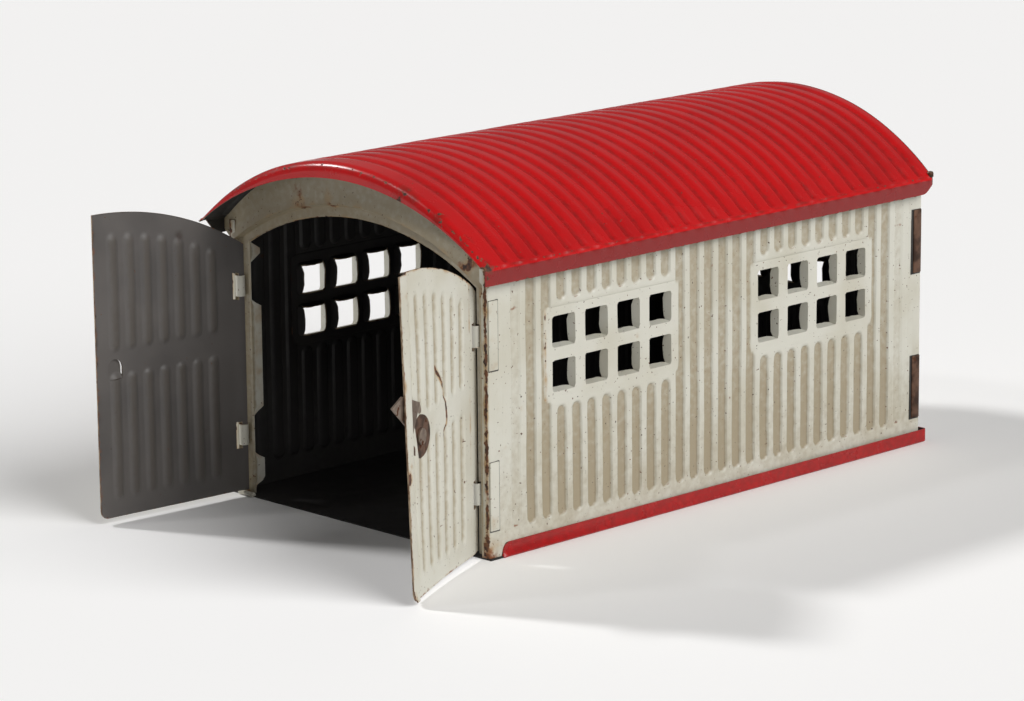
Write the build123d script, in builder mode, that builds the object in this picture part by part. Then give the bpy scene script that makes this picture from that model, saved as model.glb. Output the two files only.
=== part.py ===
from math import asin, cos, degrees, radians, sin, sqrt
import os

from build123d import *

# Toy garage pressed from tinplate, in millimetres.
# +Z is up, the doors face -Y, and the origin is under the middle of the body, on the ground.

# Sheet metal and fits
sheet = 0.4
seat_gap = 0.05
running_gap = 0.06
cut_through = 4 * sheet

# Body
body_length = 170.0
body_width = 99.0
wall_height = 75.5
half_length = body_length / 2
half_width = body_width / 2
inner_half_width = half_width - sheet
floor_top = sheet

# Pressed grooves, shared by the walls and the doors
groove_width = 2.7
groove_depth = 0.6
wall_groove_pitch = 5.556
wall_groove_foot = 6.6
wall_groove_top_gap = 1.2
wall_plain_end = 14.2
rear_plain_end = 10.0
rear_groove_margin = 7.5

# Windows in each side wall
window_centre = 39.2
window_foot = 37.3
window_panel_width = 50.2
window_panel_height = 25.2
panel_corner = 2.0
pane_width = 8.4
pane_height = 8.3
pane_columns = 4
pane_rows = 2
rear_pane_columns = 3
mullion = 3.6
glazing_bar = 3.3
pane_corner = 0.8
tongue_reach = 3.4

# Flanges of the side walls
corner_flange = 2.6
foot_flange = 4.0
foot_flange_setback = 6.0

# Tabs that lock the gables to the side walls
tab_height = 18.0
tab_width = 3.2
tab_heights = (16.6, 58.4)
slot_gap = 0.05

# Base tray
skirt_height = 3.8
skirt_stand_off = 1.1
skirt_front_setback = 4.5
skirt_rear_reach = 2.0
skirt_front_round = 2.2

# Roof
eave_clearance = 0.8
roof_rise = 21.3
eave_overhang = 2.4
fascia_height = 4.5
fascia_rear_round = 3.6
front_overhang = 5.6
rear_overhang = 2.4
ridge_depth = 0.5
ridge_pitch = 5.66
ridge_groove = 2.9
ridge_plain_end = 4.8
eave_margin = 1.7
front_lip_drop = 5.6
front_lip_end = 0.8
rear_lip_drop = 2.6
rear_lip_end = 0.8

# Front gable: stepped rebate round the doorway
rebate_depth = 1.0
jamb_width = 2.9
rebate_spring_drop = 5.0
rebate_rise = 14.3
doorway_band = 4.2
doorway_crown_band = 3.2
doorway_rise = 11.9
return_depth = 3.0
spandrel_drop = 2.9

# Hinges: tongues of the front gable curl through slots in the doors
hinge_heights = (17.0, 58.0)
hinge_tongue_height = 5.6
hinge_slot_height = 7.4
hinge_pin_half = 0.8
hinge_bore = 0.9
hinge_slot_end = 2.7
hinge_notch_height = 12.0

# Doors
door_overlap = 2.0
door_foot = 1.6
door_top_gap = 1.5
door_groove_pitch = 5.3
door_plain_hinge_side = 9.5
door_plain_free_side = 5.9
band_foot = 40.4
band_top = 46.0
door_groove_foot = 6.0
groove_top_margin = 5.6
lap_clearance = 0.1
lap_rise = 0.75
lap_slope = 0.6
left_door_open = 94.0
right_door_open = 112.0

# Catch on the left door
catch_offset = 7.1
catch_drop = 1.2
catch_width = 4.4
catch_height = 5.0
catch_angle = 40.0
catch_margin = 1.6

# Turning latch on the right door
latch_offset = 10.8
latch_height = 40.6
latch_angle = 30.5
latch_gap = 0.1
latch_sheet = 0.5
eye_radius = 4.4
disc_radius = 5.4
blade_start = 5.7
blade_length = 20.1
blade_tip_height = 0.6
blade_shoulder = 15.9
blade_shoulder_height = 5.1
blade_foot_edge = -1.2
blade_top_edge = 7.0
blade_lift = 0.9
rivet_radius = 1.2
rivet_head_radius = 2.1
rivet_head = 0.5
washer_radius = 2.3
washer_thickness = 0.4



def arch_radius(half, rise):
    """Radius of an arch from its half width and its rise."""
    return (half**2 + rise**2) / (2 * rise)


# Places worked out from the sizes above: roof
eave_height = wall_height + eave_clearance
eave_half = half_width + eave_overhang
roof_crown = eave_height + roof_rise
roof_radius = arch_radius(eave_half, roof_rise)
roof_axis_height = roof_crown - roof_radius
roof_half_angle = degrees(asin(eave_half / roof_radius))
roof_front = half_length + front_overhang
roof_rear = half_length + rear_overhang

# Gables and doorway
gable_front = half_length - sheet
gable_radius = roof_radius - sheet - seat_gap
spandrel_half = eave_half - sheet - seat_gap
spandrel_foot = wall_height - spandrel_drop
rebate_front = gable_front - rebate_depth
rebate_half_width = half_width - jamb_width
rebate_crown = wall_height - rebate_spring_drop + rebate_rise
rebate_radius = arch_radius(rebate_half_width, rebate_rise)
doorway_half_width = rebate_half_width - doorway_band
doorway_crown = rebate_crown - doorway_crown_band
doorway_radius = arch_radius(doorway_half_width, doorway_rise)

# Hinges and doors
hinge_bore_outer = hinge_bore + sheet
hinge_offset = rebate_half_width - hinge_bore_outer
hinge_line = rebate_front + hinge_bore_outer
door_width = hinge_offset + door_overlap
door_crown = rebate_crown - door_top_gap
door_radius = rebate_radius
lap_start = hinge_offset - door_overlap - lap_clearance
latch_place = door_width - latch_offset
catch_place = door_width - catch_offset
catch_foot = latch_height - catch_drop

# Numbers of grooves and ridges
wall_groove_count = int((body_length - 2 * wall_plain_end) / wall_groove_pitch) + 1
rear_groove_count = int((body_width - 2 * rear_plain_end) / wall_groove_pitch) + 1
ridge_count = int(2 * (roof_rear - ridge_plain_end) / ridge_pitch) + 1
door_groove_run = door_width - door_plain_hinge_side - door_plain_free_side
door_groove_count = int(door_groove_run / door_groove_pitch) + 1


def arch_height(x, crown, radius):
    """Height of an arch of that crown and radius at a distance x from its middle."""
    return crown - radius + sqrt(radius**2 - x**2)


def arched_face(plane, half, crown, radius, foot):
    """An upright panel with straight sides and an arched top."""
    spring = arch_height(half, crown, radius)
    with BuildSketch(plane) as face:
        with BuildLine():
            Polyline((half, spring), (half, foot), (-half, foot), (-half, spring))
            ThreePointArc((-half, spring), (0, crown), (half, spring))
        make_face()
    return face.sketch


def gable_face(plane):
    """A gable: wall-wide below, with spandrels that fill the roof's eaves above."""
    shoulder = arch_height(spandrel_half, roof_axis_height + gable_radius, gable_radius)
    with BuildSketch(plane) as face:
        with BuildLine():
            Polyline(
                (spandrel_half, shoulder),
                (spandrel_half, spandrel_foot),
                (inner_half_width, spandrel_foot),
                (inner_half_width, floor_top),
                (-inner_half_width, floor_top),
                (-inner_half_width, spandrel_foot),
                (-spandrel_half, spandrel_foot),
                (-spandrel_half, shoulder),
            )
            ThreePointArc(
                (-spandrel_half, shoulder),
                (0, roof_axis_height + gable_radius),
                (spandrel_half, shoulder),
            )
        make_face()
    return face.sketch


def crescent_face(plane, drop, end_drop):
    """The turned-down edge of the roof: a crescent that starts inside the roof's own sheet."""
    half = eave_half - sheet / 2
    crown = roof_crown - sheet / 2
    eave = arch_height(half, crown, roof_radius - sheet / 2)
    with BuildSketch(plane) as face:
        with BuildLine():
            Line((half, eave), (half, eave_height - end_drop))
            ThreePointArc(
                (half, eave_height - end_drop),
                (0, roof_crown - drop),
                (-half, eave_height - end_drop),
            )
            Line((-half, eave_height - end_drop), (-half, eave))
            ThreePointArc((-half, eave), (0, crown), (half, eave))
        make_face()
    return face.sketch


def groove_face(plane, spans, width):
    """Round-ended upright grooves, each given as (middle, foot, top)."""
    with BuildSketch(plane) as face:
        for middle, foot, top in spans:
            with Locations((middle, (foot + top) / 2)):
                SlotOverall(top - foot + width - groove_width, width, rotation=90)
    return face.sketch


# Side walls: grooves run up under the eaves and stop at two flat window panels
wall_face = Plane(origin=(half_width, 0, 0), x_dir=(0, 1, 0), z_dir=(1, 0, 0))
wall_inside = wall_face.offset(-sheet)
panel_middle = window_foot + window_panel_height / 2
wall_spans = []
for index in range(wall_groove_count):
    groove_place = (index - (wall_groove_count - 1) / 2) * wall_groove_pitch
    wall_spans.append((groove_place, wall_groove_foot, wall_height - wall_groove_top_gap))


def wall_grooves(plane, width, inset):
    """All grooves of a side wall, less the window panels drawn in by inset."""
    with BuildSketch(plane) as face:
        add(groove_face(Plane.XY, wall_spans, width))
        for side in (-1, 1):
            with Locations((side * window_centre, panel_middle)):
                RectangleRounded(
                    window_panel_width - 2 * inset,
                    window_panel_height - 2 * inset,
                    panel_corner,
                    mode=Mode.SUBTRACT,
                )
    return face.sketch


# Panes of the windows, and their metal turned inwards as pointed tongues
column_places = [
    side * window_centre + (index - (pane_columns - 1) / 2) * (pane_width + mullion)
    for side in (-1, 1)
    for index in range(pane_columns)
]
row_places = [
    panel_middle + (index - (pane_rows - 1) / 2) * (pane_height + glazing_bar)
    for index in range(pane_rows)
]


def tongue_faces(plane, places, half_edge):
    """Pointed tongues side by side, their roots in the wall."""
    root = half_width - sheet / 2
    tip = inner_half_width - tongue_reach
    with BuildSketch(plane) as faces:
        for place in places:
            with BuildLine():
                Polyline(
                    (root, place - half_edge), (tip, place), (root, place + half_edge), close=True
                )
            make_face()
    return faces.sketch


with BuildPart() as pane_tongues:
    for edge in (-1, 1):
        for column in column_places:
            upright = Plane.XZ.offset(-(column + edge * pane_width / 2))
            extrude(
                tongue_faces(upright, row_places, pane_height / 2 - pane_corner),
                amount=-edge * sheet,
            )
        for row in row_places:
            level = Plane.XY.offset(row + edge * pane_height / 2)
            extrude(
                tongue_faces(level, column_places, pane_width / 2 - pane_corner),
                amount=edge * sheet,
            )

with BuildPart() as right_wall:
    with BuildSketch(wall_face):
        with Locations((0, (floor_top + wall_height) / 2)):
            Rectangle(body_length, wall_height - floor_top)
    extrude(amount=-sheet)
    # Grooves are pressed inwards, so each stands up on the inside
    extrude(wall_grooves(wall_inside, groove_width + 2 * sheet, sheet), amount=-groove_depth)
    extrude(wall_grooves(wall_face, groove_width, 0), amount=-groove_depth, mode=Mode.SUBTRACT)
    # Flanges bent round the corners and in along the floor
    for end in (-1, 1):
        with BuildSketch(Plane.XZ.offset(-end * (half_length - sheet))):
            with Locations((half_width - corner_flange / 2, (floor_top + spandrel_foot) / 2)):
                Rectangle(corner_flange, spandrel_foot - floor_top)
        extrude(amount=-end * sheet)
    with BuildSketch(Plane.XY.offset(floor_top)):
        with Locations((half_width - foot_flange / 2, 0)):
            Rectangle(foot_flange, body_length - 2 * foot_flange_setback)
    extrude(amount=sheet)
    # Panes cut out of the flat panels
    with BuildSketch(wall_face):
        for column in column_places:
            for row in row_places:
                with Locations((column, row)):
                    RectangleRounded(pane_width, pane_height, pane_corner)
    extrude(amount=-sheet, mode=Mode.SUBTRACT)
    add(pane_tongues.part)
    # Slots for the gables' tabs, and notches where the spandrels cross the wall
    for end in (-1, 1):
        for height in tab_heights:
            with Locations((half_width, end * (gable_front - sheet / 2), height)):
                Box(
                    cut_through,
                    sheet + 2 * slot_gap,
                    tab_height + 2 * slot_gap,
                    mode=Mode.SUBTRACT,
                )
        with Locations((half_width, end * half_length, wall_height)):
            Box(
                cut_through,
                2 * (2 * sheet + slot_gap),
                2 * (wall_height - spandrel_foot + slot_gap),
                mode=Mode.SUBTRACT,
            )
right_wall.part.label = "right_wall"

with BuildPart() as left_wall:
    add(mirror(right_wall.part, about=Plane.YZ, mode=Mode.PRIVATE))
left_wall.part.label = "left_wall"


def tab_boxes(end):
    """Side tabs of a gable: out through the wall's slot and folded flat along it."""
    fold_middle = end * (gable_front - tab_width / 2)
    for side in (-1, 1):
        for height in tab_heights:
            through_middle = side * (half_width - slot_gap / 2)
            with Locations((through_middle, end * (gable_front - sheet / 2), height)):
                Box(2 * sheet + slot_gap, sheet, tab_height)
            with Locations((side * (half_width + sheet / 2), fold_middle, height)):
                Box(sheet, tab_width, tab_height)


# Front gable
gable_plane = Plane.XZ.offset(gable_front)
rebate_plane = Plane.XZ.offset(rebate_front)
below_floor = floor_top - cut_through
with BuildPart() as front_frame:
    extrude(gable_face(gable_plane), amount=-sheet)
    extrude(
        arched_face(gable_plane, rebate_half_width, rebate_crown, rebate_radius, below_floor),
        amount=-sheet,
        mode=Mode.SUBTRACT,
    )
    # Rebate: a step back, then a narrow band round the doorway
    extrude(
        arched_face(gable_plane, rebate_half_width, rebate_crown, rebate_radius, floor_top),
        amount=-rebate_depth - sheet,
    )
    extrude(
        arched_face(
            gable_plane,
            rebate_half_width - sheet,
            rebate_crown - sheet,
            rebate_radius - sheet,
            below_floor,
        ),
        amount=-rebate_depth,
        mode=Mode.SUBTRACT,
    )
    # Return flange round the doorway
    extrude(
        arched_face(
            rebate_plane,
            doorway_half_width + sheet,
            doorway_crown + sheet,
            doorway_radius + sheet,
            floor_top,
        ),
        amount=-return_depth,
    )
    extrude(
        arched_face(
            rebate_plane, doorway_half_width, doorway_crown, doorway_radius, below_floor
        ),
        amount=-return_depth,
        mode=Mode.SUBTRACT,
    )
    for side in (-1, 1):
        for height in hinge_heights:
            notch_middle = -rebate_front + sheet + return_depth / 2
            with Locations((side * doorway_half_width, notch_middle, height)):
                Box(cut_through, return_depth, hinge_notch_height, mode=Mode.SUBTRACT)
            # Tongue lanced from the flange and curled round the door's hinge edge
            with BuildSketch(Plane.XY.offset(height - hinge_tongue_height / 2)):
                with Locations((side * hinge_offset, -hinge_line)):
                    Circle(hinge_bore_outer)
                    Circle(hinge_bore, mode=Mode.SUBTRACT)
                relief_side = side * (hinge_offset - (hinge_bore_outer + sheet) / 2)
                with Locations((relief_side, -hinge_line + hinge_bore_outer / 2)):
                    Rectangle(hinge_bore_outer, hinge_bore_outer, mode=Mode.SUBTRACT)
                strip = hinge_offset - doorway_half_width
                with Locations((side * (hinge_offset - strip / 2), -rebate_front - sheet / 2)):
                    Rectangle(strip, sheet)
            extrude(amount=hinge_tongue_height)
    tab_boxes(-1)
front_frame.part.label = "front_frame"

# Rear gable, with the same grooves as the walls
rear_plane = Plane(origin=(0, gable_front, 0), x_dir=(-1, 0, 0), z_dir=(0, 1, 0))
rear_spans = []
for index in range(rear_groove_count):
    groove_place = (index - (rear_groove_count - 1) / 2) * wall_groove_pitch
    groove_top = arch_height(groove_place, roof_crown, roof_radius) - rear_groove_margin
    rear_spans.append((groove_place, wall_groove_foot, groove_top))
rear_panel_width = window_panel_width - (pane_columns - rear_pane_columns) * (pane_width + mullion)
rear_column_places = [
    (index - (rear_pane_columns - 1) / 2) * (pane_width + mullion) for index in range(rear_pane_columns)
]


def rear_grooves(plane, width, inset):
    """All grooves of the rear wall, less its window panel drawn in by inset."""
    with BuildSketch(plane) as face:
        add(groove_face(Plane.XY, rear_spans, width))
        with Locations((0, panel_middle)):
            RectangleRounded(
                rear_panel_width - 2 * inset,
                window_panel_height - 2 * inset,
                panel_corner,
                mode=Mode.SUBTRACT,
            )
    return face.sketch


with BuildPart() as rear_wall:
    extrude(gable_face(rear_plane), amount=-sheet)
    extrude(
        rear_grooves(rear_plane.offset(-sheet), groove_width + 2 * sheet, sheet),
        amount=-groove_depth,
    )
    extrude(rear_grooves(rear_plane, groove_width, 0), amount=-groove_depth, mode=Mode.SUBTRACT)
    # Panes cut out of the flat panel
    with BuildSketch(rear_plane):
        for column in rear_column_places:
            for row in row_places:
                with Locations((column, row)):
                    RectangleRounded(pane_width, pane_height, pane_corner)
    extrude(amount=-sheet, mode=Mode.SUBTRACT)
    tab_boxes(1)
rear_wall.part.label = "rear_wall"

# Base tray: a flat floor with its edges turned up as a skirting outside the walls
skirt_outer = half_width + skirt_stand_off + sheet
skirt_front = half_length - skirt_front_setback
skirt_rear = half_length + skirt_rear_reach
with BuildPart() as base_tray:
    with BuildSketch(Plane.XY):
        with Locations((0, (skirt_rear - half_length) / 2)):
            Rectangle(2 * inner_half_width, skirt_rear + half_length)
        with Locations((0, (skirt_rear - skirt_front) / 2)):
            Rectangle(2 * skirt_outer, skirt_rear + skirt_front)
    extrude(amount=sheet)
    for side in (-1, 1):
        with BuildSketch(Plane.YZ.offset(side * skirt_outer)) as skirt_side:
            with Locations(((skirt_rear - skirt_front) / 2, skirt_height / 2)):
                Rectangle(skirt_rear + skirt_front, skirt_height)
            front_top = skirt_side.vertices().sort_by(Axis.X)[:2].sort_by(Axis.Y)[-1]
            fillet(front_top, skirt_front_round)
        extrude(amount=-side * sheet)
    with BuildSketch(Plane.XZ.offset(-skirt_rear)):
        with Locations((0, skirt_height / 2)):
            Rectangle(2 * skirt_outer, skirt_height)
    extrude(amount=sheet)
base_tray.part.label = "base_tray"

# Roof: one sheet rolled to an arc with a fascia along each eave, and grooves pressed across it
margin_angle = degrees(eave_margin / roof_radius)
roof_axis = Axis((0, 0, roof_axis_height), (0, -1, 0))


def ring_face(radius, width):
    """Sections of the roof's grooves, from a radius down by the groove's depth, at one eave."""
    lean = radians(roof_half_angle - margin_angle)
    start = Plane(
        origin=(0, 0, roof_axis_height), x_dir=(0, 1, 0), z_dir=(cos(lean), 0, -sin(lean))
    )
    with BuildSketch(start) as face:
        for index in range(ridge_count):
            groove_place = (index - (ridge_count - 1) / 2) * ridge_pitch
            with Locations((groove_place, radius - ridge_depth / 2)):
                Rectangle(width, ridge_depth)
    return face.sketch


groove_arc = 2 * (roof_half_angle - margin_angle)
margin_start = radians(roof_half_angle - margin_angle)


def roof_point(radius):
    """Where the flat margin along the right eave begins, on an arc of that radius."""
    return (radius * sin(margin_start), roof_axis_height + radius * cos(margin_start))


with BuildPart() as roof:
    with BuildSketch(Plane.XZ.offset(roof_front)):
        with BuildLine():
            fascia_foot = eave_height - fascia_height
            inner_eave = arch_height(eave_half - sheet, roof_crown - sheet, roof_radius - sheet)
            outer_start = roof_point(roof_radius)
            inner_start = roof_point(roof_radius - sheet)
            Polyline(
                (-outer_start[0], outer_start[1]),
                (-eave_half, eave_height),
                (-eave_half, fascia_foot),
                (sheet - eave_half, fascia_foot),
                (sheet - eave_half, inner_eave),
                (-inner_start[0], inner_start[1]),
            )
            ThreePointArc((-inner_start[0], inner_start[1]), (0, roof_crown - sheet), inner_start)
            Polyline(
                inner_start,
                (eave_half - sheet, inner_eave),
                (eave_half - sheet, fascia_foot),
                (eave_half, fascia_foot),
                (eave_half, eave_height),
                outer_start,
            )
            ThreePointArc(outer_start, (0, roof_crown), (-outer_start[0], outer_start[1]))
        make_face()
    extrude(amount=-roof_front - roof_rear)
    fascia_corners = roof.edges().filter_by(Axis.X).group_by(Axis.Z)[0]
    fillet(fascia_corners, fascia_rear_round)
    # The grooves stand proud inside and are hollow outside
    revolve(ring_face(roof_radius - sheet, ridge_groove + 2 * sheet), roof_axis, groove_arc)
    revolve(ring_face(roof_radius, ridge_groove), roof_axis, groove_arc, mode=Mode.SUBTRACT)
    extrude(
        crescent_face(Plane.XZ.offset(roof_front), front_lip_drop, front_lip_end),
        amount=-sheet,
    )
    extrude(
        crescent_face(Plane.XZ.offset(-roof_rear), rear_lip_drop, rear_lip_end),
        amount=sheet,
    )
roof.part.label = "roof"


def door_plane(side, opening):
    """Upright plane of a door: x runs from the hinge line to the free edge, z is out or in."""
    swing = radians(opening)
    return Plane(
        origin=(side * hinge_offset, -hinge_line, 0),
        x_dir=(-side * cos(swing), -sin(swing), 0),
        z_dir=(-sin(swing), side * cos(swing), 0),
    )


def door_outline(plane):
    """A door's outline, whose top follows the rebate's arch."""
    with BuildSketch(plane) as face:
        hinge_top = arch_height(hinge_offset + hinge_pin_half, door_crown, door_radius)
        free_top = arch_height(hinge_offset - door_width, door_crown, door_radius)
        middle = door_width / 2
        with BuildLine():
            Polyline(
                (-hinge_pin_half, hinge_top),
                (-hinge_pin_half, door_foot),
                (door_width, door_foot),
                (door_width, free_top),
            )
            ThreePointArc(
                (door_width, free_top),
                (middle, arch_height(hinge_offset - middle, door_crown, door_radius)),
                (-hinge_pin_half, hinge_top),
            )
        make_face()
    return face.sketch


def door_spans(short_groove, short_top):
    """Upper and lower grooves of a door, from its free edge; one lower groove is short."""
    spans = []
    for index in range(door_groove_count):
        middle = door_width - door_plain_free_side - index * door_groove_pitch
        top = arch_height(hinge_offset - middle, door_crown, door_radius) - groove_top_margin
        lower_top = short_top if index == short_groove else band_foot
        spans.append((middle, band_top, top))
        spans.append((middle, door_groove_foot, lower_top))
    return spans


def hinge_slots(plane):
    """Slots that the hinge tongues curl through, beside the door's hinge edge."""
    with BuildSketch(plane) as face:
        for height in hinge_heights:
            with Locations(((hinge_pin_half + hinge_slot_end) / 2, height)):
                Rectangle(hinge_slot_end - hinge_pin_half, hinge_slot_height)
    return face.sketch


# Left door: a flat leaf with a catch bent out of it
left_plane = door_plane(-1, left_door_open)
left_spans = door_spans(0, catch_foot - catch_margin)


def catch_face(plane, root_height, width, height):
    """The catch: a round-topped tongue."""
    with BuildSketch(plane) as face:
        with Locations((0, root_height + (height - width / 2) / 2)):
            Rectangle(width, height - width / 2)
        with Locations((0, root_height + height - width / 2)):
            Circle(width / 2)
    return face.sketch


with BuildPart() as left_door:
    extrude(door_outline(left_plane), amount=sheet / 2, both=True)
    extrude(
        groove_face(left_plane.offset(-sheet / 2), left_spans, groove_width + 2 * sheet),
        amount=-groove_depth,
    )
    extrude(
        groove_face(left_plane.offset(sheet / 2), left_spans, groove_width),
        amount=-groove_depth,
        mode=Mode.SUBTRACT,
    )
    extrude(hinge_slots(left_plane), amount=sheet, both=True, mode=Mode.SUBTRACT)
    catch_hole = Plane(
        origin=left_plane.from_local_coords((catch_place, catch_foot, 0)),
        x_dir=left_plane.x_dir,
        z_dir=left_plane.z_dir,
    )
    extrude(
        catch_face(catch_hole, 0, catch_width, catch_height),
        amount=sheet,
        both=True,
        mode=Mode.SUBTRACT,
    )
    catch_lean = radians(catch_angle)
    catch_tongue = Plane(
        origin=catch_hole.origin,
        x_dir=catch_hole.x_dir,
        z_dir=catch_hole.z_dir * cos(catch_lean) - catch_hole.y_dir * sin(catch_lean),
    )
    extrude(
        catch_face(catch_tongue, -sheet, catch_width - 2 * seat_gap, catch_height),
        amount=sheet / 2,
        both=True,
    )
left_door.part.label = "left_door"

# Right door: its free edge is set forward to lap over the left door
right_plane = door_plane(1, right_door_open)
right_spans = door_spans(1, latch_height - disc_radius + catch_margin)
with BuildPart() as right_door:
    extrude(door_outline(right_plane), amount=2 * lap_rise, both=True)
    lap_plane = Plane(origin=right_plane.origin, x_dir=right_plane.x_dir, z_dir=(0, 0, 1))
    with BuildSketch(lap_plane):
        with BuildLine():
            Polyline(
                (-hinge_pin_half, -sheet / 2),
                (lap_start - lap_slope, -sheet / 2),
                (lap_start, lap_rise - sheet / 2),
                (door_width, lap_rise - sheet / 2),
                (door_width, lap_rise + sheet / 2),
                (lap_start, lap_rise + sheet / 2),
                (lap_start - lap_slope, sheet / 2),
                (-hinge_pin_half, sheet / 2),
                close=True,
            )
        make_face()
    extrude(amount=roof_crown, mode=Mode.INTERSECT)
    extrude(
        groove_face(right_plane.offset(sheet / 2), right_spans, groove_width + 2 * sheet),
        amount=groove_depth,
    )
    extrude(
        groove_face(right_plane.offset(-sheet / 2), right_spans, groove_width),
        amount=groove_depth,
        mode=Mode.SUBTRACT,
    )
    extrude(hinge_slots(right_plane), amount=sheet, both=True, mode=Mode.SUBTRACT)
    with BuildSketch(right_plane):
        with Locations((latch_place, latch_height)):
            Circle(rivet_radius)
    extrude(amount=sheet, both=True, mode=Mode.SUBTRACT)
right_door.part.label = "right_door"

# Latch: an arm with an eye turns on the rivet under a round disc
latch_lift = radians(latch_angle)
latch_plane = Plane(
    origin=right_plane.from_local_coords((latch_place, latch_height, 0)),
    x_dir=right_plane.x_dir * cos(latch_lift) + right_plane.y_dir * sin(latch_lift),
    z_dir=right_plane.z_dir,
)
arm_foot = sheet / 2 + latch_gap
arm_top = arm_foot + latch_sheet
disc_foot = arm_top
disc_top = disc_foot + latch_sheet
blade_foot = arm_foot + blade_lift
with BuildPart() as latch_arm:
    with BuildSketch(latch_plane.offset(-arm_foot)):
        Circle(eye_radius)
        with BuildLine():
            Polyline(
                (0, blade_foot_edge),
                (blade_start, blade_foot_edge),
                (blade_start, blade_top_edge),
                (blade_start / 2, blade_top_edge),
                (0, eye_radius),
                close=True,
            )
        make_face()
        Circle(rivet_radius + running_gap, mode=Mode.SUBTRACT)
    extrude(amount=-latch_sheet)
    with BuildSketch(latch_plane.offset(-blade_foot)):
        with BuildLine():
            Polyline(
                (blade_start, blade_foot_edge),
                (blade_length, blade_tip_height),
                (blade_shoulder, blade_shoulder_height),
                (blade_start, blade_top_edge),
                close=True,
            )
        make_face()
    extrude(amount=-latch_sheet)
    with BuildSketch(latch_plane.offset(-arm_foot)):
        with Locations((blade_start, (blade_foot_edge + blade_top_edge) / 2)):
            Rectangle(latch_sheet, blade_top_edge - blade_foot_edge)
    extrude(amount=-blade_lift - latch_sheet)
latch_arm.part.label = "latch_arm"

with BuildPart() as latch_disc:
    with BuildSketch(latch_plane.offset(-disc_foot)):
        Circle(disc_radius)
        Circle(rivet_radius + running_gap, mode=Mode.SUBTRACT)
    extrude(amount=-latch_sheet)
latch_disc.part.label = "latch_disc"

with BuildPart() as latch_rivet:
    with BuildSketch(latch_plane.offset(sheet / 2 + washer_thickness)):
        Circle(rivet_radius)
    extrude(amount=-(sheet / 2 + washer_thickness + disc_top + running_gap))
    with BuildSketch(latch_plane.offset(-disc_top - running_gap)):
        Circle(rivet_head_radius)
    extrude(amount=-rivet_head)
    with BuildSketch(latch_plane.offset(sheet / 2 + washer_thickness)):
        Circle(rivet_head_radius - rivet_head)
    extrude(amount=rivet_head)
latch_rivet.part.label = "latch_rivet"

with BuildPart() as latch_washer:
    with BuildSketch(latch_plane.offset(sheet / 2)):
        Circle(washer_radius)
        Circle(rivet_radius, mode=Mode.SUBTRACT)
    extrude(amount=washer_thickness)
latch_washer.part.label = "latch_washer"

os.makedirs("parts", exist_ok=True)
pieces = [
    base_tray, left_wall, right_wall, rear_wall, front_frame, roof,
    left_door, right_door, latch_arm, latch_disc, latch_rivet, latch_washer,
]
for piece in pieces:
    export_step(piece.part, f"parts/{piece.part.label}.step")
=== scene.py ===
import math
import bmesh
import bpy
from mathutils import Matrix, Vector, noise


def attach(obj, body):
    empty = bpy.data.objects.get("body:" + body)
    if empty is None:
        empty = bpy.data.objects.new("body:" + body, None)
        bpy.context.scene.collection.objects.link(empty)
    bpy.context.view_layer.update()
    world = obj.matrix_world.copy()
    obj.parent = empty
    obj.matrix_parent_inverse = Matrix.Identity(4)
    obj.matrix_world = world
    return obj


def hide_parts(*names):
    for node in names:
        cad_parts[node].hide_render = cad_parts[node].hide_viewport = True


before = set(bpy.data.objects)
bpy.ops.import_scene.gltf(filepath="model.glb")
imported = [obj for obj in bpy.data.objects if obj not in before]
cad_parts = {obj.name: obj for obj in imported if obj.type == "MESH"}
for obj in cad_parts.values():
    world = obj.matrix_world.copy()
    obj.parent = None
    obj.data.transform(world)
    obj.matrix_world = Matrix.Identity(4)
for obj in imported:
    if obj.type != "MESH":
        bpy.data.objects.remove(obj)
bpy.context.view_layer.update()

# Lengths are in millimetres in every dictionary here; points turn to metres as they are placed
mm = 0.001
scene = bpy.context.scene
scene.view_settings.view_transform = "Standard"

# The toy's own sheet and outer sizes, as the solids have them
tin = {
    "gauge": 0.4,
    "halfLength": 85.0,
    "halfWidth": 49.5,
    "wallHeight": 75.5,
    "grooveWidth": 3.8,
    "grooveDepth": 0.62,
    "settle": 0.12,  # the sheets lie this far inside the solids' skin, so that their waves stay within it
}


def ease(x, start, end):  # 0 before start, 1 after end, smooth between
    t = min(max((x - start) / (end - start), 0), 1)
    return t * t * (3 - 2 * t)


def near(distance, reach):  # 1 on a line, falling to 0 at its reach
    return max(0.0, 1 - abs(distance) / reach)


def archTop(x, crown, radius):
    return crown - radius + math.sqrt(max(radius * radius - x * x, 0))


def rowHeight(v, level, crown, top):  # a sheet's rows run level up to there and follow its arch above it
    return v if v <= level else level + (v - level) / (crown - level) * (top - level)


def spaced(start, end, step):  # evenly spaced values, both ends included
    count = max(1, math.ceil(abs(end - start) / step - 1e-6))
    return [start + (end - start) * i / count for i in range(count + 1)]


def gathered(fixed, filler, closest=0.2):  # the fixed values, and what filler fits between them
    kept = sorted(set(round(value, 4) for value in fixed))
    loose = [value for value in filler if all(abs(value - other) > closest for other in kept)]
    return sorted(kept + loose)


def grooveAt(across, along, foot, top, width, shoulder=0.17):
    # 0 to 1: how deep a flat-bottomed, round-ended groove is here
    end = max(foot + width / 2 - along, along - top + width / 2, 0)
    return ease(width / 2 - math.hypot(across, end), 0, width * shoulder)


def grooveLines(centres, width):  # grid lines that follow a groove's rounding
    return [c + k * width for c in centres for k in (-0.5, -0.42, -0.33, -0.17, 0, 0.17, 0.33, 0.42, 0.5)]


def spotsAt(u, v, spots):  # worn spots, each (u, v, reach, strength)
    return max((near(math.hypot(u - a, v - b), reach) * power for a, b, reach, power in spots), default=0)


def dent(u, v, seed, size=22.0):  # hand-pressed tin is never quite flat
    return noise.noise(Vector((u / size, v / size, seed)))


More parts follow.
